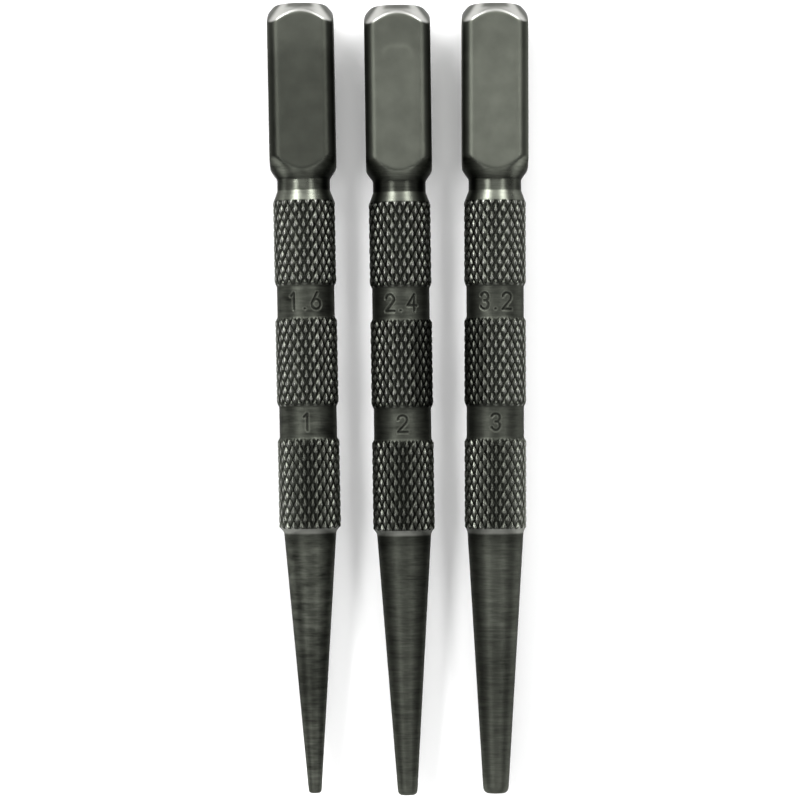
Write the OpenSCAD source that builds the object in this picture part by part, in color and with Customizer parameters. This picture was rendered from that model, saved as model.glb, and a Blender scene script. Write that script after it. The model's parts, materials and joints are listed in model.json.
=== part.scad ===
// Set of nail setters, each turned from one square steel bar: a square striking head, a narrow neck,
// a round grip with knurled and plain bands, and a tapered shank that ends in a cupped tip.
// The tools lie side by side on their head flats, heads towards +Y and tips towards -Y.
// The origin is under the middle of the set, on the surface that the tools lie on.

/* [Head] */
// Width of the square head across its flats
head_width = 8.5; // [8.1:0.1:12]
// Length of the head, from the striking face to the neck
head_length = 22.5; // [12:0.1:40]
// Radius of the head's four long corners
head_corner_r = 1.6; // [0.5:0.1:2.4]
// Diameter of the striking face
face_d = 6.4; // [4:0.1:7.6]
// Slope of the chamfer round the striking face, from the tool's axis
face_slope = 45; // [30:1:60]
// Slope of the cone under the head, from the tool's axis
base_slope = 35; // [25:1:60]

/* [Neck] */
// Diameter of the neck between the head and the grip
neck_d = 6.8; // [5:0.1:7.2]
// Length of the neck, with its flare to the grip
neck_length = 2.25; // [1.5:0.05:8]

/* [Grip] */
// Diameter of the plain turned bands
band_d = 7.4; // [7.3:0.05:7.9]
// Length of each plain band
band_length = 4; // [1:0.1:10]
// Length of each knurled band
knurl_length = 11.5; // [5:0.1:20]
// Number of knurled bands, with a plain band between each two
knurl_bands = 3; // [1:1:4]
// Height of the knurl's points above the plain bands
knurl_height = 0.3; // [0.1:0.05:0.5]
// Length of one diamond of the knurl along the tool
knurl_pitch = 1.94; // [1:0.02:4]
// Number of diamonds round the grip
knurl_starts = 22; // [10:1:30]

/* [Shank] */
// Length of the tapered shank, from the tip to the shoulder
shank_length = 33.4; // [15:0.1:60]
// Length of the shoulder cone between the shank and the grip
shoulder_length = 0.95; // [0.2:0.05:3]
// Diameter of the small tool's shank at its shoulder
small_shank_d = 6.7; // [4:0.05:7.3]
// Diameter of the medium tool's shank at its shoulder
medium_shank_d = 6.95; // [4:0.05:7.3]
// Diameter of the large tool's shank at its shoulder
large_shank_d = 7.2; // [4:0.05:7.3]

/* [Tip] */
// Diameter of the small tool's tip
small_tip_d = 1.6; // [0.8:0.1:3]
// Diameter of the medium tool's tip
medium_tip_d = 2.4; // [1.2:0.1:4]
// Diameter of the large tool's tip
large_tip_d = 3.2; // [1.6:0.1:5]
// Bevel of the tip's edge as a share of the tip's diameter
tip_bevel_share = 0.1; // [0.02:0.01:0.15]
// Mouth of the cup in the tip as a share of the tip's diameter
cup_mouth_share = 0.6; // [0.3:0.05:0.65]
// Depth of the cup as a share of its mouth
cup_depth_share = 0.2; // [0.05:0.05:0.45]

/* [Lay] */
// Distance from the small tool's axis to the medium tool's, halfway along them
small_spacing = 12.2; // [11:0.1:40]
// Distance from the medium tool's axis to the large tool's, halfway along them
large_spacing = 12; // [11:0.1:40]
// How far the medium tool lies towards the tip side of its neighbours
medium_slip = 0.25; // [0:0.05:5]
// Angle of the small tool on the surface, its head swung towards -X
small_lay = 1.1; // [-1:0.1:3]
// Angle of the medium tool on the surface, its head swung towards -X
medium_lay = 0.8; // [-1:0.1:2]
// Angle of the large tool on the surface, its head swung towards -X
large_lay = 0.1; // [-2:0.1:2]

/* [Hidden] */
$fn = 96;

// Half sizes
head_half = head_width / 2;
face_r = face_d / 2;
neck_r = neck_d / 2;
band_r = band_d / 2;
knurl_r = band_r + knurl_height;

// Places along a tool's axis, from the tip
grip_start = shank_length + shoulder_length;
band_step = knurl_length + band_length;
grip_end = grip_start + knurl_bands * band_step - band_length;
neck_start = grip_end + band_r - neck_r;
head_start = grip_end + neck_length;
tool_length = head_start + head_length;

// The head's cones run from inside the neck out past its corners
corner_reach = head_half * sqrt(2);
cone_foot = neck_r / 2;
cone_foot_z = head_start - (neck_r - cone_foot) / tan(base_slope);
base_rim_z = head_start + (corner_reach - neck_r) / tan(base_slope);
face_rim_z = tool_length - (corner_reach - face_r) / tan(face_slope);

// Where the middle of a flat leaves the cone under the head and meets the striking face's chamfer
flat_start = head_start + (head_half - neck_r) / tan(base_slope);
flat_end = tool_length - (head_half - face_r) / tan(face_slope);

// The knurl is a ring of columns whose points alternate between groove crossings and diamond tips
knurl_columns = 2 * knurl_starts;
knurl_floor_share = 0.1;
knurl_floor_r = band_r / cos(180 / knurl_columns) + knurl_floor_share * knurl_height;
knurl_rows = max(1, round((knurl_length - 2 * knurl_height) / (knurl_pitch / 2)));
knurl_row_step = (knurl_length - 2 * knurl_height) / knurl_rows;

// The tools rest on whichever is wider, the head or the knurl
axis_height = max(head_half, knurl_r);

// Each tool: shank diameter, tip diameter, place halfway along its axis, lay angle
small_tool = [small_shank_d, small_tip_d, [-small_spacing, 0], small_lay];
medium_tool = [medium_shank_d, medium_tip_d, [0, -medium_slip], medium_lay];
large_tool = [large_shank_d, large_tip_d, [large_spacing, 0], large_lay];

// Points on both sides of a tool, seen from above, that bound its outline
function outline_points(tool) =
    let (widths = [
        [tool[1] / 2, 0],
        [knurl_r, grip_start],
        [knurl_r, grip_end],
        [head_half, flat_start],
        [head_half, flat_end],
        [face_r, tool_length],
    ])
    [for (side = [-1, 1], width = widths)
        let (across = side * width[0], along = width[1] - tool_length / 2)
        [
            tool[2][0] + across * cos(tool[3]) - along * sin(tool[3]),
            tool[2][1] + across * sin(tool[3]) + along * cos(tool[3]),
        ]
    ];

// The middle of the set, seen from above
set_points = [for (tool = [small_tool, medium_tool, large_tool]) each outline_points(tool)];
set_xs = [for (point = set_points) point[0]];
set_ys = [for (point = set_points) point[1]];
set_middle = [(min(set_xs) + max(set_xs)) / 2, (min(set_ys) + max(set_ys)) / 2];

// One ring of the knurl: the radius alternates from column to column
function knurl_ring(z, even_r, odd_r) = [
    for (column = [0 : knurl_columns - 1])
        let (r = column % 2 == 0 ? even_r : odd_r, angle = 360 * column / knurl_columns)
        [r * cos(angle), r * sin(angle), z]
];

// The two triangles between neighbouring columns and rings, split along the groove
function knurl_cell(ring, column) =
    let (
        next = (column + 1) % knurl_columns,
        low = ring * knurl_columns,
        high = low + knurl_columns
    )
    (ring + column) % 2 == 0
        ? [[low + column, high + column, high + next], [low + column, high + next, low + next]]
        : [[low + column, high + column, low + next], [low + next, high + column, high + next]];

// A knurled band: rows of four-sided points, with both ends bevelled down to the groove floor
module knurled_band() {
    rings = [
        knurl_ring(0, knurl_floor_r, knurl_floor_r),
        for (row = [0 : knurl_rows])
            let (z = knurl_height + row * knurl_row_step)
            row % 2 == 0 ? knurl_ring(z, knurl_r, knurl_floor_r) : knurl_ring(z, knurl_floor_r, knurl_r),
        knurl_ring(knurl_length, knurl_floor_r, knurl_floor_r),
    ];
    ring_points = [for (ring = rings) each ring];
    start_middle = len(ring_points);
    end_middle = start_middle + 1;
    last_ring = (len(rings) - 1) * knurl_columns;
    sides = [
        for (ring = [0 : len(rings) - 2], column = [0 : knurl_columns - 1]) each knurl_cell(ring, column)
    ];
    ends = [
        for (column = [0 : knurl_columns - 1])
            let (next = (column + 1) % knurl_columns)
            each [[start_middle, column, next], [end_middle, last_ring + next, last_ring + column]]
    ];
    polyhedron(
        points = concat(ring_points, [[0, 0, 0], [0, 0, knurl_length]]),
        faces = concat(sides, ends)
    );
}

// Square bar with rounded corners
module head_outline() {
    inner = head_width - 2 * head_corner_r;
    square([head_width, inner], center = true);
    square([inner, head_width], center = true);
    for (x = [-inner / 2, inner / 2], y = [-inner / 2, inner / 2])
        translate([x, y])
            circle(r = head_corner_r);
}

// Square head, with a cone turned on the bar at each end
module head() {
    intersection() {
        translate([0, 0, cone_foot_z])
            linear_extrude(tool_length - cone_foot_z)
                head_outline();
        rotate_extrude()
            polygon([
                [0, cone_foot_z],
                [cone_foot, cone_foot_z],
                [corner_reach, base_rim_z],
                [corner_reach, face_rim_z],
                [face_r, tool_length],
                [0, tool_length],
            ]);
    }
}

// Everything turned round below the head: tip, shank, shoulder, grip core and neck
module turned_bar(shank_d, tip_d) {
    tip_bevel = tip_d * tip_bevel_share;
    rotate_extrude()
        polygon([
            [0, 0],
            [tip_d / 2 - tip_bevel, 0],
            [tip_d / 2, tip_bevel],
            [shank_d / 2, shank_length],
            [band_r, grip_start],
            [band_r, grip_end],
            [neck_r, neck_start],
            [neck_r, head_start + head_length / 2],
            [0, head_start + head_length / 2],
        ]);
}

// Hollow in the tip that keeps it on the nail head
module tip_cup(tip_d) {
    mouth_r = tip_d * cup_mouth_share / 2;
    depth = 2 * mouth_r * cup_depth_share;
    ball_r = (mouth_r * mouth_r + depth * depth) / (2 * depth);
    translate([0, 0, depth - ball_r])
        sphere(r = ball_r);
}

// One tool upright on its tip
module upright_setter(shank_d, tip_d) {
    difference() {
        union() {
            turned_bar(shank_d, tip_d);
            for (band = [0 : knurl_bands - 1])
                translate([0, 0, grip_start + band * band_step])
                    knurled_band();
            head();
        }
        tip_cup(tip_d);
    }
}

// One tool laid down in its place in the set
module laid_setter(tool) {
    translate([tool[2][0] - set_middle[0], tool[2][1] - set_middle[1], axis_height])
        rotate([0, 0, tool[3]])
            rotate([-90, 0, 0])
                translate([0, 0, -tool_length / 2])
                    upright_setter(tool[0], tool[1]);
}

module small_nail_setter() {
    color([0.21, 0.22, 0.2])
        laid_setter(small_tool);
}

module medium_nail_setter() {
    color([0.24, 0.25, 0.23])
        laid_setter(medium_tool);
}

module large_nail_setter() {
    color([0.27, 0.28, 0.26])
        laid_setter(large_tool);
}

small_nail_setter();
medium_nail_setter();
large_nail_setter();
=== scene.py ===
import json
import math

import bpy
import numpy as np
from mathutils import Matrix, Vector


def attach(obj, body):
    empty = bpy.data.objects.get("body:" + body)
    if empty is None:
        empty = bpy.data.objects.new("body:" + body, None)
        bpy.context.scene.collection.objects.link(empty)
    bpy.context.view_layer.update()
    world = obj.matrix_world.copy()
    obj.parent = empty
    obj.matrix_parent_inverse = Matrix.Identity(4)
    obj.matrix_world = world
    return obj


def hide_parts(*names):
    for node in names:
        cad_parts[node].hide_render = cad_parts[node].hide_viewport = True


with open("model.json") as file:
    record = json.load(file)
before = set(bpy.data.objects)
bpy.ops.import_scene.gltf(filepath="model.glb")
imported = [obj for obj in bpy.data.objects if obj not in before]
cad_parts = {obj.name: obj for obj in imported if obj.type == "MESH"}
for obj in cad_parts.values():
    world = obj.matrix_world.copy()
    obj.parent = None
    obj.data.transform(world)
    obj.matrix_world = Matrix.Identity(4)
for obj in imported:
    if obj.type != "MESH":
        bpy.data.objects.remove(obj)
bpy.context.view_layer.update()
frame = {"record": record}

# Sizes are in metres, and MM turns a size in millimetres into metres
MM = 0.001

# Square head, with a cone turned at each end
HEAD_HALF = 4.25 * MM
HEAD_LENGTH = 22.5 * MM
HEAD_CORNER_R = 1.6 * MM
FACE_R = 3.3 * MM
FACE_RIM = 0.35 * MM
FACE_SLOPE = math.radians(41)
FACE_CROWN = 0.05 * MM
BASE_SLOPE = math.radians(35)
FACE_EDGE_ROUNDING = 0.4 * MM
BASE_EDGE_ROUNDING = 0.22 * MM

# Neck, with its flare down to the grip
NECK_R = 3.4 * MM
NECK_LENGTH = 2.25 * MM
FLARE_LENGTH = 1.6 * MM
FLARE_OVERLAP = 0.8 * MM

# Grip: knurled bands with plain bands between them
BAND_R = 3.7 * MM
BAND_LENGTH = 4.0 * MM
KNURL_LENGTH = 11.5 * MM
KNURL_BANDS = 3
KNURL_HEIGHT = 0.3 * MM
KNURL_BEVEL = 0.5 * MM
KNURL_PITCH = 1.94 * MM
KNURL_STARTS = 22
GROOVE_RISE = 0.03 * MM
RUN_OUT_LENGTH = 0.3 * MM
RUN_OUT_SLOPE = 0.4
GROOVE_EDGE_ROUNDING = 0.03 * MM
KNURL_FADE = 0.06 * MM

# Levels on a diamond, from 0 in its grooves, with points that stop at slightly different levels
RIDGE_ROUNDING = 0.05
POINT_LEVEL = 0.76
POINT_VARIETY = 0.12
POINT_ROUNDING = 0.1
FULL_LEVEL = 0.7
POINT_ROWS = 40

# Shank and tip
SHANK_LENGTH = 33.4 * MM
SHOULDER_LENGTH = 0.95 * MM
TURNED_EDGE_ROUNDING = 0.07 * MM
TIP_EDGE_SHARE = 0.17
TIP_EDGE_LENGTH_SHARE = 0.26
CUP_MOUTH_SHARE = 0.57
CUP_DEPTH_SHARE = 0.2

# Numbers stamped into the plain bands
DIGIT_HEIGHT = 2.1 * MM
DIGIT_STEP = 1.5 * MM
DIGIT_HALF_WIDTH = 0.3 * DIGIT_HEIGHT
STROKE_HALF = 0.17 * MM
STROKE_DEPTH = 0.07 * MM
STROKE_FLOOR = 0.3 * STROKE_HALF
STROKE_EDGE = 1.2 * STROKE_HALF
BURR_PLACE = 1.5 * STROKE_HALF
BURR_WIDTH = 0.4 * STROKE_HALF
BURR_SHARE = 0.25

# Finish of the surfaces, as tones of the oxide and shares of wear, dirt, darkening, painted shade and polish
BAND_TONE = 0.64
SHOULDER_BARE = 0.35
# The shank is darker just below the shoulder, fading over this length
SHOULDER_DARKENING = 0.4
SHOULDER_DARKENING_LENGTH = 3.0 * MM
SMUDGE_PLACE = 14.5 * MM
SMUDGE_REACH = 9.0 * MM
GROOVE_DIRT = 0.7
STROKE_DIRT = 0.6
STROKE_WEAR = 0.3
KNURL_WEAR = 0.14
KNURL_WEAR_LEVELS = (0.1, 0.6)
POINT_BARE = 0.6
POINT_R = 0.34 * MM
POINT_CORE_R = 0.35 * POINT_R
FLARE_WEAR = 0.45
FLARE_FADE = 0.1 * MM
SHOULDER_WEAR = 0.8
SHOULDER_WEAR_LENGTH = 0.3 * MM
TIP_WEAR = 0.25
TIP_WEAR_LENGTH = 5 * MM
KNURL_POLISH = 0.19
NECK_POLISH = 0.16
GROUND_POLISH = 0.15
# Painted shade on the ground face cone, for the dark surroundings that it reflects: its strength, and its
# least share away from the face
RIM_PAINTED_SHADE = 0.8
RIM_LEAST = 0.35
# Painted shade on the sides of the neck and the head's base cone, for the dark floor that they reflect
NECK_SIDE_PAINTED_SHADE = 0.7
# Painted shade at the root of the head's base cone, in the crease where it meets the neck: the tone there
CONE_ROOT_SHADE_TONE = 0.3
CUP_DIRT = 0.55
# Painted shade on the head's rounded corners: a little where they leave the flats, to dim the highlight
# there, and more towards the diagonals, for the dark surroundings that they reflect
EDGE_PAINTED_SHADE = 0.14
EDGE_SHADE_WIDTH = 0.3 * MM
CORNER_PAINTED_SHADE = 0.42
CORNER_SHADE_SPAN = (0.45 * MM, 1.0 * MM)

# Tones of the knurled bands, from the tip up, on top of the grip and at its sides: darker on top, with
# painted light at the sides that stands in for the lamps' reflections there
KNURL_TOP_TONES = (0.58, 0.74, 0.76)
KNURL_SIDE_PAINTED_LIGHT = (1.9, 1.2, 1.2)
# Strength of the painted shade on the side of a knurled band that faces a neighbouring tool
GRIP_PAINTED_SHADE = 0.55

# Where painted light and shade begin and reach their full strength round a tool, from 0 on top of it to 1 at
# its side
GRIP_TOP_SPAN = (0.12, 0.5)
GRIP_SIDE_SPAN = (0.4, 0.85)
PAINTED_SHADE_SPAN = (0.05, 0.6)
NECK_SIDE_SPAN = (0.6, 0.85)
RIM_SIDE_SPAN = (0.65, 0.81)

# Edges of the head's finishes: painted shade on the face cone from the corners to the flats, and widths of
# the fades
RIM_FLAT_SPAN = (-0.9, 0.1)
NEAR_FACE_SPAN = (0.25 * MM, 0.6 * MM)
FLAT_FADE = 0.1 * MM
GROUND_FADE = 0.2 * MM

# Patch on each head flat whose tone changes towards the striking face
PATCH_PLACE = 5.35 * MM
PATCH_HALF = 1.9 * MM
PATCH_CORNER_R = 1.2 * MM
PATCH_LINE_WIDTH = 0.38 * MM
PATCH_REACH = 2.2 * MM

# Each tool: radii of its shank and tip, its numbers, the tones and marks of its finish, and its random seed.
# A painted shade on a grip, for the dark gap between neighbouring tools that it reflects, is on the left (-1)
# or right (1) side of a knurled band, counted from 0 at the tip.
TOOLS = {
    "small": {
        "shank_r": 3.35 * MM,
        "tip_r": 0.85 * MM,
        "numbers": ("1", "1.6"),
        "head_tone": 0.73,
        "face_end_tone": 0.4,
        "patch_fade": 2.6 * MM,
        "patch_line": 0.0,
        "knurl_tone": 0.86,
        "grip_painted_shade": {},
        "cone_tone": 1.4,
        "shank_tone": 0.9,
        "shank_smudge": 0.45,
        "shank_marks": 2.4,
        "neck_tone": 1.2,
        "seed": 3,
    },
    "medium": {
        "shank_r": 3.475 * MM,
        "tip_r": 1.28 * MM,
        "numbers": ("2", "2.4"),
        "head_tone": 1.38,
        "face_end_tone": -0.15,
        "patch_fade": 0.25 * MM,
        "patch_line": 0.2,
        "knurl_tone": 0.68,
        "grip_painted_shade": {1: 1},
        "cone_tone": 1.8,
        "shank_tone": 0.78,
        "shank_smudge": 0.0,
        "shank_marks": 1.2,
        "neck_tone": 0.5,
        "seed": 17,
    },
    "large": {
        "shank_r": 3.6 * MM,
        "tip_r": 1.66 * MM,
        "numbers": ("3", "3.2"),
        "head_tone": 1.58,
        "face_end_tone": -0.1,
        "patch_fade": 1.0 * MM,
        "patch_line": 0.0,
        "knurl_tone": 1.0,
        "grip_painted_shade": {1: -1},
        "cone_tone": 1.7,
        "shank_tone": 0.86,
        "shank_smudge": 0.25,
        "shank_marks": 1.0,
        "neck_tone": 1.2,
        "seed": 41,
    },
}

# Places along a tool, from its tip
GRIP_START = SHANK_LENGTH + SHOULDER_LENGTH
BAND_STEP = KNURL_LENGTH + BAND_LENGTH
GRIP_END = GRIP_START + KNURL_BANDS * BAND_STEP - BAND_LENGTH
FLARE_START = GRIP_END - FLARE_OVERLAP
FLARE_END = FLARE_START + FLARE_LENGTH
HEAD_START = GRIP_END + NECK_LENGTH
TOOL_LENGTH = HEAD_START + HEAD_LENGTH
NECK_FINISH_START = FLARE_START + 0.2 * MM
FLARE_WEAR_FULL = FLARE_START + 0.5 * MM
KNURL_STARTS_ALONG = [GRIP_START + band * BAND_STEP for band in range(KNURL_BANDS)]
BAND_MIDDLES = [start + KNURL_LENGTH + BAND_LENGTH / 2 for start in KNURL_STARTS_ALONG[:-1]]
CREST_R = BAND_R + KNURL_HEIGHT
GROOVE_R = BAND_R + GROOVE_RISE

# Mesh columns round a tool and rows along its knurl, in step with the diamonds
STEPS_PER_DIAMOND = 10
COLUMNS = KNURL_STARTS * STEPS_PER_DIAMOND
KNURL_ROW = KNURL_PITCH / STEPS_PER_DIAMOND
TOP = math.pi / 2

# Points on the curves of the turned outline, and samples that round its corners
TIP_CURVE_POINTS = 7
SHOULDER_CURVE_POINTS = 9
ROUNDING_SAMPLES = 7

# Mesh rows at the tip, the shank, the numbers, the rim of the striking face and the two ends
TIP_ROWS = 8
SHANK_ROWS_START_SHARE = 1.5
SHANK_ROWS_END = SHANK_LENGTH - 0.2 * MM
SHANK_ROW = 0.7 * MM
DIGIT_ROWS = 30
DIGIT_MARGIN = 0.25 * MM
BAND_EDGE_ROWS = 6
RIM_ROWS = 9
CUP_ROWS = 7
FACE_ROWS = 9
FACE_OUTER_ROW = 0.96
FACE_RIM_FADE = (0.8, 1.0)
LEAST_ROW_STEP = 0.004 * MM

# Other stretches of rows: where each begins and ends, and how many rows it has
EDGE_MARGIN = 0.1 * MM
CONE_ROWS_END = HEAD_START + 3.6 * MM
PATCH_ROWS_START = TOOL_LENGTH - 7.4 * MM
PATCH_ROWS_END = TOOL_LENGTH - 4.6 * MM
FACE_ROWS_START = TOOL_LENGTH - 2.8 * MM
ROW_STRETCHES = [
    (SHANK_LENGTH - EDGE_MARGIN, GRIP_START + 0.08 * MM, 12),
    (FLARE_START, FLARE_END + EDGE_MARGIN, 12),
    (FLARE_END + EDGE_MARGIN, HEAD_START + EDGE_MARGIN, 7),
    (HEAD_START + EDGE_MARGIN, CONE_ROWS_END, 22),
    (CONE_ROWS_END, PATCH_ROWS_START, 5),
    (PATCH_ROWS_START, PATCH_ROWS_END, 18),
    (FACE_ROWS_START, TOOL_LENGTH - FACE_RIM, 22),
]

# Columns are drawn together by this share under the numbers, and up to this far from a band's middle
COLUMN_PULL = 0.5
COLUMN_PULL_REACH = DIGIT_HEIGHT / 2 + 0.2 * MM

# The surface unrolls into two strips on its flat sheet, cut apart at the second knurled band
SHEET_CUT_MARGIN = 0.001 * MM
SHEET_CUT = KNURL_STARTS_ALONG[1] - SHEET_CUT_MARGIN
SHEET_MARGIN = 0.006


def soft_min(a, b, rounding):
    """The smaller of a and b, rounded over where they cross."""
    share = np.clip(0.5 + 0.5 * (b - a) / rounding, 0, 1)
    return b + (a - b) * share - rounding * share * (1 - share)


def smooth_step(values, low, high):
    """0 below low, 1 above high, and a smooth rise between them."""
    share = np.clip((values - low) / (high - low), 0, 1)
    return share * share * (3 - 2 * share)


# Outline of the turned steel

def turned_corners(tool):
    """Corners of the turned outline from the tip to the head, as places along the tool and radii."""
    tip_r, shank_r = tool["tip_r"], tool["shank_r"]
    edge = TIP_EDGE_SHARE * 2 * tip_r
    edge_length = TIP_EDGE_LENGTH_SHARE * 2 * tip_r
    turns = np.linspace(math.pi / 2, 0, TIP_CURVE_POINTS)
    corners = [(edge_length * (1 - math.sin(turn)), tip_r - edge * (1 - math.cos(turn))) for turn in turns]
    for share in np.linspace(0, 1, SHOULDER_CURVE_POINTS):
        hollow = (CREST_R - shank_r) * share**2
        corners.append((SHANK_LENGTH + SHOULDER_LENGTH * share, shank_r + hollow))
    for start in KNURL_STARTS_ALONG[1:]:
        corners += [(start - BAND_LENGTH - KNURL_BEVEL, CREST_R), (start - BAND_LENGTH, BAND_R)]
        corners += [(start, BAND_R), (start + KNURL_BEVEL, CREST_R)]
    corners += [(FLARE_START, CREST_R), (FLARE_END, NECK_R), (HEAD_START, NECK_R)]
    corners += [(TOOL_LENGTH, NECK_R + HEAD_LENGTH * math.tan(BASE_SLOPE))]
    return np.array(corners).T


def turned_radius(tool, along):
    """Radius of the turned outline, with its corners rounded a little."""
    places, radii = turned_corners(tool)
    shifts = np.linspace(-TURNED_EDGE_ROUNDING, TURNED_EDGE_ROUNDING, ROUNDING_SAMPLES)
    return np.mean([np.interp(along + shift, places, radii) for shift in shifts], axis=0)


def bar_radius(around):
    """Radius of the square bar with rounded corners."""
    across = np.maximum(np.abs(np.cos(around)), np.abs(np.sin(around)))
    aside = np.minimum(np.abs(np.cos(around)), np.abs(np.sin(around)))
    inner = HEAD_HALF - HEAD_CORNER_R
    reach = (across + aside) * inner
    corner = reach + np.sqrt(np.maximum(reach**2 - 2 * inner**2 + HEAD_CORNER_R**2, 0))
    return np.where(aside * HEAD_HALF <= across * inner, HEAD_HALF / across, corner)


def face_cone_radius(along):
    """Radius of the cone turned at the striking face, with its rim rounded over into the face."""
    from_face = TOOL_LENGTH - along
    turned_in = np.clip(1 - from_face / FACE_RIM, 0, 1)
    return FACE_R + from_face * math.tan(FACE_SLOPE) - FACE_RIM * (1 - np.sqrt(1 - turned_in**2))


# Diamond knurl

def knurl_phases(along, around, start):
    """How many grooves of each hand lie between a point and the knurl's first ones."""
    turn = KNURL_STARTS * around / math.tau
    climb = (along - start) / KNURL_PITCH
    return turn + climb, turn - climb


def groove_distance(phase):
    """0 in a groove of that hand, 1 halfway to the next."""
    return 2 * np.abs(phase - np.round(phase))


def knurl_height(along, around, start, seed):
    """Height of the knurl: 0 in a groove, about 1 on a diamond's point. No two points are quite alike."""
    right_hand, left_hand = knurl_phases(along, around, start)
    ridge = soft_min(groove_distance(right_hand), groove_distance(left_hand), RIDGE_ROUNDING)
    right_cell = np.floor(right_hand).astype(int)
    left_cell = np.floor(left_hand).astype(int)
    points = np.random.default_rng(seed).random((POINT_ROWS, 2 * KNURL_STARTS))
    point = points[(right_cell - left_cell) % POINT_ROWS, (right_cell + left_cell) % (2 * KNURL_STARTS)]
    flat_top = POINT_LEVEL - POINT_VARIETY * point
    return np.clip(soft_min(ridge, flat_top, POINT_ROUNDING) / FULL_LEVEL, 0, 1)


def point_distance(along, around, start):
    """Distance over the surface from the middle of the nearest diamond."""
    right_hand, left_hand = knurl_phases(along, around, start)
    right_off = right_hand - np.floor(right_hand) - 0.5
    left_off = left_hand - np.floor(left_hand) - 0.5
    across = (right_off + left_off) / 2 * math.tau * CREST_R / KNURL_STARTS
    return np.hypot(across, (right_off - left_off) / 2 * KNURL_PITCH)


def rolled_span(band):
    """Where the grooves of a knurled band are at full depth. Past there they run out to the surface."""
    start = KNURL_STARTS_ALONG[band]
    first = start if band == 0 else start + RUN_OUT_LENGTH
    last = FLARE_START if band == KNURL_BANDS - 1 else start + KNURL_LENGTH - RUN_OUT_LENGTH
    return first, last


# Stamped numbers: each digit is a list of lines and arcs in a box one unit high

LEAST_SQUARE = 1e-9


def line_distance(x, y, start, end):
    """Distance from a line between two points, or from a dot where both are the same."""
    run = np.subtract(end, start)
    share = ((x - start[0]) * run[0] + (y - start[1]) * run[1]) / max(run @ run, LEAST_SQUARE)
    share = np.clip(share, 0, 1)
    return np.hypot(x - start[0] - share * run[0], y - start[1] - share * run[1])


def arc_distance(x, y, centre, radius, start, sweep):
    """Distance from an arc that sweeps clockwise from its start, both in degrees."""
    turned = (math.radians(start) - np.arctan2(y - centre[1], x - centre[0])) % math.tau
    on_arc = np.abs(np.hypot(x - centre[0], y - centre[1]) - radius)

    def from_end(angle):
        across = x - centre[0] - radius * math.cos(angle)
        return np.hypot(across, y - centre[1] - radius * math.sin(angle))

    to_ends = np.minimum(from_end(math.radians(start)), from_end(math.radians(start - sweep)))
    return np.where(turned <= math.radians(sweep), on_arc, to_ends)


DIGITS = {
    "1": [(line_distance, (0.3, 0), (0.3, 1)), (line_distance, (0.3, 1), (0.1, 0.8))],
    "2": [
        (arc_distance, (0.3, 0.72), 0.28, 170, 215),
        (line_distance, (0.498, 0.522), (0.02, 0)),
        (line_distance, (0.02, 0), (0.6, 0)),
    ],
    "3": [(arc_distance, (0.28, 0.75), 0.25, 160, 250), (arc_distance, (0.28, 0.26), 0.26, 90, 250)],
    "4": [
        (line_distance, (0.45, 0), (0.45, 1)),
        (line_distance, (0.45, 1), (0, 0.32)),
        (line_distance, (0, 0.32), (0.62, 0.32)),
    ],
    "6": [(arc_distance, (0.3, 0.29), 0.29, 0, 360), (line_distance, (0.04, 0.4), (0.36, 1))],
    ".": [(line_distance, (0.28, 0.02), (0.28, 0.02))],
}


def stroke_distance(number, x, y):
    """Distance from the nearest stroke of a number, on the flat band with its middle at 0, 0."""
    nearest = np.full(np.broadcast(x, y).shape, np.inf)
    for index, digit in enumerate(number):
        left = (index - (len(number) - 1) / 2) * DIGIT_STEP - DIGIT_HALF_WIDTH
        for measure, *shape in DIGITS[digit]:
            reach = measure((x - left) / DIGIT_HEIGHT, y / DIGIT_HEIGHT + 0.5, *shape)
            nearest = np.minimum(nearest, reach * DIGIT_HEIGHT)
    return nearest


# The whole surface of a tool

def tool_rows(tool):
    """Places of the mesh rows along the tool, closer together where the shape turns."""
    tip_edge = TIP_EDGE_LENGTH_SHARE * 2 * tool["tip_r"]
    rows = [np.linspace(*stretch) for stretch in ROW_STRETCHES]
    rows.append(tip_edge * np.linspace(0, 1, TIP_ROWS) ** 2)
    rows.append(np.arange(SHANK_ROWS_START_SHARE * tip_edge, SHANK_ROWS_END, SHANK_ROW))
    rows.append(TOOL_LENGTH - FACE_RIM * np.linspace(1, 0, RIM_ROWS) ** 2)
    for start in KNURL_STARTS_ALONG:
        rows.append(start + np.arange(0, KNURL_LENGTH, KNURL_ROW))
        rows.append(start + np.array([KNURL_BEVEL, KNURL_LENGTH - KNURL_BEVEL, KNURL_LENGTH]))
    for middle in BAND_MIDDLES:
        margin = DIGIT_HEIGHT / 2 + DIGIT_MARGIN
        rows.append(middle + np.linspace(-margin, margin, DIGIT_ROWS))
        rows.append(middle + np.linspace(margin, BAND_LENGTH / 2, BAND_EDGE_ROWS))
        rows.append(middle - np.linspace(margin, BAND_LENGTH / 2, BAND_EDGE_ROWS))
    places = np.unique(np.concatenate(rows))
    return places[np.concatenate([[True], np.diff(places) > LEAST_ROW_STEP])]


def tool_columns(along):
    """Angles of the mesh columns in each row, drawn together on top of the plain bands, under the numbers."""
    even = (math.tau * np.arange(COLUMNS) / COLUMNS)[None, :]
    drawn = 0 * along
    for middle in BAND_MIDDLES:
        away = np.abs(along - middle)
        drawn = drawn + COLUMN_PULL * (1 - smooth_step(away, COLUMN_PULL_REACH, BAND_LENGTH / 2))
    return even - drawn * np.sin(even - TOP)


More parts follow.
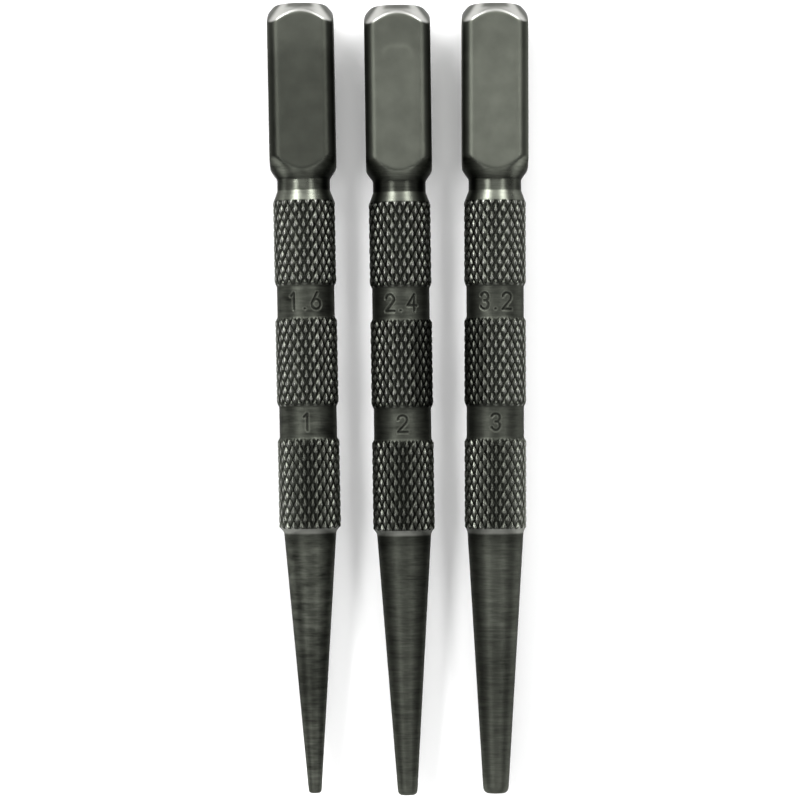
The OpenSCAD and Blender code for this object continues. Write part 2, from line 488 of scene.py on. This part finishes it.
def grip_tone(tool, band, around):
    """Tone of a knurled band round the grip, darker on top with painted light at its sides and painted shade
    on a side that faces a neighbouring tool, and the share of that painted light that its wear follows.
    """
    sideways = np.abs(np.cos(around))
    from_top = smooth_step(sideways, *GRIP_TOP_SPAN)
    at_side = smooth_step(sideways, *GRIP_SIDE_SPAN)
    # Painted light: the band is darker on top and lighter at its sides, where the lamps' reflections fall
    top_tone, side_tone = KNURL_TOP_TONES[band], KNURL_SIDE_PAINTED_LIGHT[band]
    tone = top_tone + (1 - top_tone) * from_top + (side_tone - 1) * at_side
    # Painted shade on the side that faces a neighbouring tool
    shaded_side = tool["grip_painted_shade"].get(band, 0) * np.cos(around)
    between_tools_shade = GRIP_PAINTED_SHADE * smooth_step(shaded_side, *PAINTED_SHADE_SPAN)
    return tool["knurl_tone"] * tone * (1 - between_tools_shade), tone / side_tone * (1 - between_tools_shade)


def head_flat_tone(tool, along, around):
    """Tone of the head's flats: painted shade along the four corners, and a tone that changes outside a patch
    towards the striking face.
    """
    aside = bar_radius(around) * np.minimum(np.abs(np.cos(around)), np.abs(np.sin(around)))
    past_flat = aside - (HEAD_HALF - HEAD_CORNER_R)
    # Painted shade on the rounded corners, dimming their highlight and their reflections
    edge_shade = EDGE_PAINTED_SHADE * smooth_step(past_flat, 0, EDGE_SHADE_WIDTH)
    corner_shade = CORNER_PAINTED_SHADE * smooth_step(past_flat, *CORNER_SHADE_SPAN)
    out_across = np.maximum(aside - (PATCH_HALF - PATCH_CORNER_R), 0)
    out_along = np.maximum(PATCH_PLACE + PATCH_CORNER_R - (TOOL_LENGTH - along), 0)
    from_patch = np.hypot(out_across, out_along) - PATCH_CORNER_R
    near_face = 1 - smooth_step(TOOL_LENGTH - along, PATCH_PLACE, PATCH_PLACE + PATCH_REACH)
    outside = smooth_step(from_patch, -tool["patch_fade"], tool["patch_fade"])
    line = np.exp(-((from_patch / PATCH_LINE_WIDTH) ** 2))
    # The flat's tone changes outside the patch, towards the striking face
    face_end_change = near_face * (tool["face_end_tone"] * outside + tool["patch_line"] * line)
    return tool["head_tone"] * (1 - (edge_shade + corner_shade)) * (1 + face_end_change)


def tool_surface(tool):
    """Places, angles and radii of the tool's surface, and masks for how it is finished."""
    along = tool_rows(tool)[:, None]
    around = tool_columns(along)
    radius = turned_radius(tool, along) + 0 * around
    from_shoulder = SHANK_LENGTH - along
    # The shank darkens towards the shoulder
    shoulder_darkening = SHOULDER_DARKENING * (1 - smooth_step(from_shoulder, 0, SHOULDER_DARKENING_LENGTH))
    smudge = tool["shank_smudge"] * (1 - smooth_step(np.abs(along - SMUDGE_PLACE), 0, SMUDGE_REACH))
    shank_tone = tool["shank_tone"] * (1 - shoulder_darkening) * (1 - smudge)
    tone = np.where(from_shoulder > 0, shank_tone, BAND_TONE) + 0 * around
    wear = np.zeros_like(radius)
    bare = np.zeros_like(radius)
    polish = np.zeros_like(radius)
    turned = np.ones_like(radius)
    on_head = along > HEAD_START

    for band, start in enumerate(KNURL_STARTS_ALONG):
        first, last = rolled_span(band)
        outside = np.maximum(np.maximum(first - along, along - last), 0)
        groove_r = GROOVE_R + RUN_OUT_SLOPE * outside
        height = knurl_height(along, around, start, tool["seed"] + band)
        cut = soft_min(radius, groove_r + (CREST_R - GROOVE_R) * height, GROOVE_EDGE_ROUNDING)
        knurled = (radius > groove_r) & ~on_head
        shown = knurled * smooth_step(radius - groove_r, 0, KNURL_FADE)
        # The knurl's tone carries painted light at its sides and painted shade towards a neighbour, and its
        # wear and bare points follow that painted light
        knurl_tone, painted_light_share = grip_tone(tool, band, around)
        tone = tone + shown * (knurl_tone * (1 - GROOVE_DIRT * (1 - height)) - tone)
        point = 1 - smooth_step(point_distance(along, around, start), POINT_CORE_R, POINT_R)
        wear = np.maximum(wear, shown * painted_light_share * KNURL_WEAR * smooth_step(height, *KNURL_WEAR_LEVELS))
        bare = np.maximum(bare, shown * painted_light_share**2 * POINT_BARE * point)
        polish = np.maximum(polish, shown * KNURL_POLISH)
        turned = turned * (1 - shown)
        radius = np.where(knurled, cut, radius)

    flare = smooth_step(along, NECK_FINISH_START, FLARE_WEAR_FULL)
    flare = flare * (1 - smooth_step(along, FLARE_END - FLARE_FADE, FLARE_END + FLARE_FADE))
    shoulder = smooth_step(along, SHANK_LENGTH, SHANK_LENGTH + SHOULDER_WEAR_LENGTH) * (along < GRIP_START)
    tip = 1 - smooth_step(along, 0, TIP_WEAR_LENGTH)
    rubbed = np.maximum(np.maximum(FLARE_WEAR * flare, SHOULDER_WEAR * shoulder), TIP_WEAR * tip)
    wear = np.maximum(wear, rubbed * turned)

    for middle, number in zip(BAND_MIDDLES, tool["numbers"]):
        on_band = np.abs(along - middle) < DIGIT_HEIGHT
        reach = stroke_distance(number, (TOP - around) * BAND_R, along - middle)
        pressed = 1 - smooth_step(reach, STROKE_FLOOR, STROKE_EDGE)
        burr = np.exp(-(((reach - BURR_PLACE) / BURR_WIDTH) ** 2))
        radius = radius - on_band * STROKE_DEPTH * (pressed - BURR_SHARE * burr)
        tone = tone * (1 - STROKE_DIRT * on_band * pressed)
        wear = np.maximum(wear, STROKE_WEAR * on_band * burr)

    bar = bar_radius(around) + 0 * along
    face_cone = face_cone_radius(along) + 0 * around
    base_cone = np.where(on_head, radius, CREST_R)
    flats = on_head * smooth_step(np.minimum(face_cone, base_cone) - bar, -FLAT_FADE, FLAT_FADE)
    ground = on_head * smooth_step(np.minimum(bar, base_cone) - face_cone, -GROUND_FADE, 0.0)
    # Painted shade on the ground face cone: between the corners, near the face and at the sides, where it
    # would reflect dark surroundings
    near_face = smooth_step(HEAD_HALF - face_cone, *NEAR_FACE_SPAN)
    sideways = np.abs(np.cos(around))
    rim = smooth_step(np.cos(4 * around), *RIM_FLAT_SPAN) * (RIM_LEAST + (1 - RIM_LEAST) * near_face)
    rim = np.maximum(rim, smooth_step(sideways, *RIM_SIDE_SPAN))
    neck = (along > NECK_FINISH_START) * (1 - flats) * (1 - ground)
    tone = tone + flats * (head_flat_tone(tool, along, around) - tone)
    # Painted shade: the base cone darkens towards its root at the neck
    up_cone = np.clip((base_cone - NECK_R) / (HEAD_HALF - NECK_R), 0, 1)
    cone_tone = tool["cone_tone"] * (CONE_ROOT_SHADE_TONE + (1 - CONE_ROOT_SHADE_TONE) * up_cone)
    # Painted shade on the sides of the neck and base cone
    side_shade = NECK_SIDE_PAINTED_SHADE * smooth_step(sideways, *NECK_SIDE_SPAN)
    neck_tone = np.where(on_head, cone_tone, tool["neck_tone"]) * (1 - side_shade)
    tone = tone + neck * (neck_tone - tone)
    polish = np.maximum(polish, np.maximum(NECK_POLISH * neck, GROUND_POLISH * ground))
    turned = turned * (1 - flats)
    rounded = soft_min(soft_min(bar, face_cone, FACE_EDGE_ROUNDING), base_cone, BASE_EDGE_ROUNDING)
    radius = np.where(on_head, rounded, radius)
    # The ground face cone is bare steel, held back where its painted shade lies
    bare = np.maximum(bare, ground * (1 - RIM_PAINTED_SHADE * rim))
    bare = np.maximum(bare, SHOULDER_BARE * shoulder * turned)
    masks = {"tone": tone, "wear": wear, "bare": bare, "polish": polish, "turned": turned}
    return along + 0 * around, around, radius, masks


def add_ends(tool, along, around, radius, masks):
    """Adds the rows of the cup at the tip and of the striking face, each out from a middle point."""
    mouth_r = tool["tip_r"] * CUP_MOUTH_SHARE
    cup_depth = 2 * mouth_r * CUP_DEPTH_SHARE
    cup = np.linspace(0, 1, CUP_ROWS)[:, None]
    face = np.linspace(FACE_OUTER_ROW, 0, FACE_ROWS)[:, None]
    ones = np.ones_like(around[:1])
    along = np.concatenate([
        cup_depth * (1 - cup**2) * ones,
        along,
        TOOL_LENGTH + FACE_CROWN * (1 - face**2) * ones,
    ])
    around = np.concatenate([around[:1] + 0 * cup, around, around[-1:] + 0 * face])
    radius = np.concatenate([mouth_r * cup * ones, radius, radius[-1:] * face])
    near_rim = smooth_step(face, *FACE_RIM_FADE)
    for name, mask in masks.items():
        rim, middle = mask[-1:], mask[-1].mean()
        masks[name] = np.concatenate([mask[:1] + 0 * cup, mask, middle + near_rim * (rim - middle)])
    masks["tone"][:len(cup)] *= 1 - CUP_DIRT
    masks["wear"][:len(cup)] *= 1 - CUP_DIRT
    return along, around, radius, masks


def one_point_ends(grid):
    """The values of a grid's points, with its first and last rows drawn together to one point each."""
    inner = grid[1:-1].reshape(-1, *grid.shape[2:])
    return np.concatenate([grid[0, :1], inner, grid[-1, :1]])


def groove_splits(along, around):
    """Which cells of the grid are knurled, and which of those lie by a groove of the left hand."""
    middle_along = (along[:-1] + along[1:]) / 2
    middle_around = (around[:-1] + around[1:]) / 2 + math.pi / COLUMNS
    knurled = np.zeros(middle_along.shape, bool)
    by_left_hand = np.zeros(middle_along.shape, bool)
    for start in KNURL_STARTS_ALONG:
        inside = (middle_along > start) & (middle_along < start + KNURL_LENGTH)
        right_hand, left_hand = knurl_phases(middle_along, middle_around, start)
        knurled |= inside
        by_left_hand |= inside & (groove_distance(left_hand) < groove_distance(right_hand))
    return knurled, by_left_hand


def tool_sheet(along, around, radius):
    """Faces of the closed surface, and where their corners lie on the flat sheet that it unrolls to."""
    rows = len(along)
    points = 1 + (np.arange(rows)[:, None] - 1) * COLUMNS + np.arange(COLUMNS + 1) % COLUMNS
    points[0] = 0
    points[-1] = 1 + (rows - 2) * COLUMNS

    steps = np.hypot(np.diff(along.mean(1)), np.diff(radius.mean(1)))
    lengths = np.concatenate([[0], np.cumsum(steps)])
    cut_row = np.argmax(along.mean(1) > SHEET_CUT)
    longest = max(lengths[cut_row], lengths[-1] - lengths[cut_row])
    room = 1 - 2 * SHEET_MARGIN
    turns = np.arange(COLUMNS + 1) / COLUMNS
    sheet = np.zeros((2, rows, COLUMNS + 1, 2))
    for strip, first_length in enumerate((0, lengths[cut_row])):
        sheet[strip, :, :, 0] = (strip + SHEET_MARGIN + room * turns) / 2
        sheet[strip, :, :, 1] = (SHEET_MARGIN + room * (lengths - first_length) / longest)[:, None]

    strip = (np.arange(rows - 1) >= cut_row).astype(int)
    low = ((strip * rows + np.arange(rows - 1)) * (COLUMNS + 1))[:, None] + np.arange(COLUMNS)
    high = low + COLUMNS + 1
    cells = np.stack([low, high, high + 1, low + 1], axis=-1)
    knurled, by_left_hand = groove_splits(along, around)
    falling = cells[knurled & ~by_left_hand]
    rising = cells[knurled & by_left_hand]
    triangles = np.concatenate([
        cells[0][:, [0, 1, 2]],
        rising[:, [0, 1, 2]],
        rising[:, [0, 2, 3]],
        falling[:, [0, 1, 3]],
        falling[:, [1, 2, 3]],
        cells[-1][:, [0, 1, 3]],
    ])
    squares = cells[1:-1][~knurled[1:-1]]
    corner_points = np.tile(points.ravel(), 2)
    faces = corner_points[squares].tolist() + corner_points[triangles].tolist()
    corners = np.concatenate([squares.ravel(), triangles.ravel()])
    return faces, sheet.reshape(-1, 2)[corners]


def tool_mesh(name, tool):
    """One closed mesh of a whole tool, laid where the frame's tool lies."""
    mounts = {mount["name"]: Vector(mount["pos_m"]) for mount in frame["record"]["mounts"]}
    tip = mounts[name + "_cupped_tip"]
    axis = (mounts[name + "_striking_face"] - tip).normalized()
    up = Vector((0, 0, 1))
    side = axis.cross(up)

    along, around, radius, masks = add_ends(tool, *tool_surface(tool))
    outward = np.cos(around)[..., None] * np.array(side) + np.sin(around)[..., None] * np.array(up)
    points = np.array(tip) + along[..., None] * np.array(axis) + radius[..., None] * outward
    faces, sheet = tool_sheet(along, around, radius)
    mesh = bpy.data.meshes.new(name + "_setter")
    mesh.from_pydata(one_point_ends(points).tolist(), [], faces)
    mesh.shade_smooth()
    masks["along"] = along / MM
    for mask, values in masks.items():
        attribute = mesh.attributes.new(mask, "FLOAT", "POINT")
        attribute.data.foreach_set("value", one_point_ends(values).astype(np.float32))
    layer = mesh.uv_layers.new(name="OFBake")
    layer.data.foreach_set("uv", sheet.astype(np.float32).ravel())
    return mesh


# Materials

# Sockets of the Mix node: the share, the low and high colours, and the mixed colour that comes out
MIX_SHARE = 0
MIX_LOW = 6
MIX_HIGH = 7
MIX_COLOUR = 2


class Value:
    """A shader socket. Sums, differences and products of Values add Math nodes."""

    def __init__(self, surface, socket):
        self.surface = surface
        self.socket = socket

    def math(self, operation, first, second):
        return self.surface.node("ShaderNodeMath", {"operation": operation}, {0: first, 1: second})

    def __add__(self, other):
        return self.math("ADD", self, other)

    def __radd__(self, other):
        return self.math("ADD", other, self)

    def __sub__(self, other):
        return self.math("SUBTRACT", self, other)

    def __rsub__(self, other):
        return self.math("SUBTRACT", other, self)

    def __mul__(self, other):
        return self.math("MULTIPLY", self, other)

    def __rmul__(self, other):
        return self.math("MULTIPLY", other, self)


class Surface:
    """A material while its nodes are laid out."""

    def __init__(self, name):
        self.material = bpy.data.materials.new(name)
        self.material.use_nodes = True
        self.tree = self.material.node_tree
        self.tree.nodes.clear()

    def node(self, kind, settings, sockets, output=0):
        """Adds a node with its settings and its sockets' values or links, and returns one of its outputs."""
        node = self.tree.nodes.new(kind)
        for key, value in settings.items():
            setattr(node, key, value)
        for key, value in sockets.items():
            if isinstance(value, Value):
                self.tree.links.new(value.socket, node.inputs[key])
            else:
                node.inputs[key].default_value = value
        return Value(self, node.outputs[output]) if node.outputs else None

    def mask(self, name):
        """A mask that is stored on the mesh."""
        return self.node("ShaderNodeAttribute", {"attribute_name": name}, {}, "Fac")

    def mix(self, share, low, high):
        """A colour between low and high."""
        sockets = {MIX_SHARE: share, MIX_LOW: low, MIX_HIGH: high}
        return self.node("ShaderNodeMix", {"data_type": "RGBA"}, sockets, MIX_COLOUR)


# Colours of the steel
GREEN_CAST = 1.06
BLUE_CAST = 0.885
OXIDE_LEVEL = 0.072
WORN_LEVEL = 0.2
BARE_STEEL = (0.42, 0.42, 0.4, 1)
EDGE_TINT = (0.5, 0.5, 0.5, 1)

# Patterns on the steel: their scale and detail, and how much finer they are along each axis
BLOTCHES = (450, 3.0)
GRAIN = (9000, 2.0)
DASHES = (700, 2.0, (1, 7, 1))
STREAKS = (700, 2.0, (0.5, 1.4, 0.5))
CUTS = (2.6, 4.0)
CUT_SHARE = 0.5
DASH_SHARE = 0.9

# How much of each finish shows between the blotches, and how much more in them
OXIDE_BLOTCHING = (0.75, 0.5)
WORN_BLOTCHING = (0.3, 0.7)
BARE_BLOTCHING = (0.75, 0.4)

# Roughness of the steel and relief of its marks
ROUGHNESS = 0.45
ROUGHNESS_VARIETY = 0.12
GRAIN_RELIEF = 0.3
DASH_RELIEF = 0.6
RELIEF_STRENGTH = 0.15
RELIEF_DEPTH = 0.05 * MM


def steel_grey(level):
    """A grey with the steel's slight olive cast."""
    return (level, GREEN_CAST * level, BLUE_CAST * level, 1)


def blackened_steel(name, tool):
    """Dark oxide with turning marks, satin on the head flats, and bare metal where it is ground or worn."""
    steel = Surface(name)
    along = steel.mask("along")
    tone = steel.mask("tone")
    wear = steel.mask("wear")
    bare = steel.mask("bare")
    polish = steel.mask("polish")
    turned = steel.mask("turned")
    place = steel.node("ShaderNodeTexCoord", {}, {}, "Object")

    def clouds(scale, detail, stretch=(1, 1, 1)):
        stretched = steel.node("ShaderNodeVectorMath", {"operation": "MULTIPLY"}, {0: place, 1: stretch})
        sockets = {"Vector": stretched, "W": tool["seed"], "Scale": scale, "Detail": detail}
        return steel.node("ShaderNodeTexNoise", {"noise_dimensions": "4D"}, sockets, "Fac")

    def rings(scale, detail):
        sockets = {"W": along + tool["seed"], "Scale": scale, "Detail": detail}
        return steel.node("ShaderNodeTexNoise", {"noise_dimensions": "1D"}, sockets, "Fac")

    def blotched(least, spread):
        return least + spread * blotches

    blotches = clouds(*BLOTCHES)
    grain = clouds(*GRAIN)
    dashes = clouds(*DASHES)
    cuts = rings(*CUTS)
    streaks = clouds(*STREAKS)

    marks = CUT_SHARE * (cuts - 0.5) + DASH_SHARE * (dashes - 0.5) + tool["shank_marks"] * (streaks - 0.5)
    tooling = 1 + turned * marks
    oxide = OXIDE_LEVEL * tone * blotched(*OXIDE_BLOTCHING) * tooling
    dark = steel.node("ShaderNodeCombineColor", {}, {
        "Red": oxide,
        "Green": oxide * GREEN_CAST,
        "Blue": oxide * BLUE_CAST,
    })
    worn = steel.mix(wear * blotched(*WORN_BLOTCHING), dark, steel_grey(WORN_LEVEL))
    base = steel.mix(bare * blotched(*BARE_BLOTCHING), worn, BARE_STEEL)
    roughness = ROUGHNESS + ROUGHNESS_VARIETY * (blotches - 0.5) - polish
    height = GRAIN_RELIEF * grain + turned * (cuts + DASH_RELIEF * dashes)
    relief = steel.node("ShaderNodeBump", {}, {
        "Height": height,
        "Strength": RELIEF_STRENGTH,
        "Distance": RELIEF_DEPTH,
    })
    shader = steel.node("ShaderNodeBsdfPrincipled", {}, {
        "Base Color": base,
        "Metallic": 1.0,
        "Roughness": roughness,
        "Specular Tint": EDGE_TINT,
        "Normal": relief,
    })
    steel.node("ShaderNodeOutputMaterial", {}, {"Surface": shader})
    return steel.material


def add_setter(name, tool):
    """One nail setter, in place of the frame's solid."""
    mesh = tool_mesh(name, tool)
    mesh.materials.append(blackened_steel(name + "_blackened_steel", tool))
    setter = bpy.data.objects.new(name + "_setter", mesh)
    bpy.context.scene.collection.objects.link(setter)
    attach(setter, name + "_tool")
    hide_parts(name + "_nail_setter")


for tool_name, tool_sizes in TOOLS.items():
    add_setter(tool_name, tool_sizes)


# Floor, lamps and camera

FLOOR_HALF = 4.0
PAPER_WHITE = (0.88, 0.88, 0.88, 1)
PAPER_GLOW = 0.14
ROOM_GREY = (0.3, 0.3, 0.3, 1)
CAMERA_HEIGHT = 0.42
CAMERA_PLACE = (0.31 * MM, -0.02 * MM, CAMERA_HEIGHT)
VIEW_WIDTH = 104.3 * MM
SENSOR_WIDTH = 36.0
ALONG_TOOLS = (0, 1, 0)
UPRIGHT = (0, 0, 1)

# Each lamp: its place, the way its length runs, its width and length, and its brightness
LAMPS = {
    "left_strip": ((-0.46, 0.35, 0.70), ALONG_TOOLS, 0.18, 1.3, 8.6),
    "right_strip": ((0.46, 0.35, 0.70), ALONG_TOOLS, 0.18, 1.3, 5.4),
    "head_end_left_box": ((-0.52, 0.64, 0.64), UPRIGHT, 0.36, 0.36, 9.0),
    "head_end_right_box": ((0.52, 0.64, 0.64), UPRIGHT, 0.36, 0.36, 7.0),
    "head_end_bar": ((0.0, 0.66, 0.75), UPRIGHT, 0.8, 0.28, 1.3),
    "overhead_panel": ((0.06, 0.10, 1.20), ALONG_TOOLS, 0.7, 0.9, 0.72),
    "head_end_panel": ((0.0, 1.15, 0.62), UPRIGHT, 1.8, 0.75, 1.3),
    "head_end_left_card": ((-0.75, 1.2, 0.18), UPRIGHT, 0.6, 0.3, 2.5),
    "head_end_right_card": ((0.75, 1.2, 0.18), UPRIGHT, 0.6, 0.3, 2.5),
    "tip_end_panel": ((0.0, -0.95, 0.70), UPRIGHT, 1.4, 0.95, 0.75),
}


def pale_paper():
    """White paper that shows the tools' shadows."""
    paper = Surface("pale_paper")
    seen = paper.node("ShaderNodeLightPath", {}, {}, "Is Camera Ray")
    mirrored = paper.node("ShaderNodeLightPath", {}, {}, "Is Glossy Ray")
    through = paper.node("ShaderNodeLightPath", {}, {}, "Is Transmission Ray")
    glow = paper.node("ShaderNodeEmission", {}, {"Strength": (seen + mirrored + through) * PAPER_GLOW})
    matt = paper.node("ShaderNodeBsdfDiffuse", {}, {"Color": PAPER_WHITE})
    both = paper.node("ShaderNodeAddShader", {}, {0: glow, 1: matt})
    paper.node("ShaderNodeOutputMaterial", {}, {"Surface": both})
    return paper.material


def add_floor():
    """A wide sheet of paper under the set."""
    mesh = bpy.data.meshes.new("floor")
    signs = [(-1, -1), (1, -1), (1, 1), (-1, 1)]
    mesh.from_pydata([(x * FLOOR_HALF, y * FLOOR_HALF, 0) for x, y in signs], [], [(0, 1, 2, 3)])
    mesh.materials.append(pale_paper())
    floor = bpy.data.objects.new("floor", mesh)
    bpy.context.scene.collection.objects.link(floor)


def add_lamp(name, place, run, width, length, brightness):
    """A soft lamp that faces the set, with its length along run. The camera would see it that bright."""
    lamp = bpy.data.lights.new(name, "AREA")
    lamp.shape = "RECTANGLE"
    lamp.size = width
    lamp.size_y = length
    lamp.energy = brightness * math.pi * width * length
    back = Vector(place).normalized()
    lengthwise = (Vector(run) - back * back.dot(run)).normalized()
    turn = Matrix((lengthwise.cross(back), lengthwise, back)).transposed()
    holder = bpy.data.objects.new(name, lamp)
    bpy.context.scene.collection.objects.link(holder)
    holder.matrix_world = Matrix.Translation(place) @ turn.to_4x4()


add_floor()
for lamp_name, lamp_sizes in LAMPS.items():
    add_lamp(lamp_name, *lamp_sizes)

room = bpy.data.worlds.new("dim_room")
room.use_nodes = True
room.node_tree.nodes["Background"].inputs["Color"].default_value = ROOM_GREY
bpy.context.scene.world = room

camera = bpy.data.cameras.new("camera")
camera.sensor_width = SENSOR_WIDTH
camera.lens = SENSOR_WIDTH * CAMERA_HEIGHT / VIEW_WIDTH
viewer = bpy.data.objects.new("camera", camera)
viewer.location = CAMERA_PLACE
bpy.context.scene.collection.objects.link(viewer)
bpy.context.scene.camera = viewer
bpy.context.scene.view_settings.view_transform = "Standard"
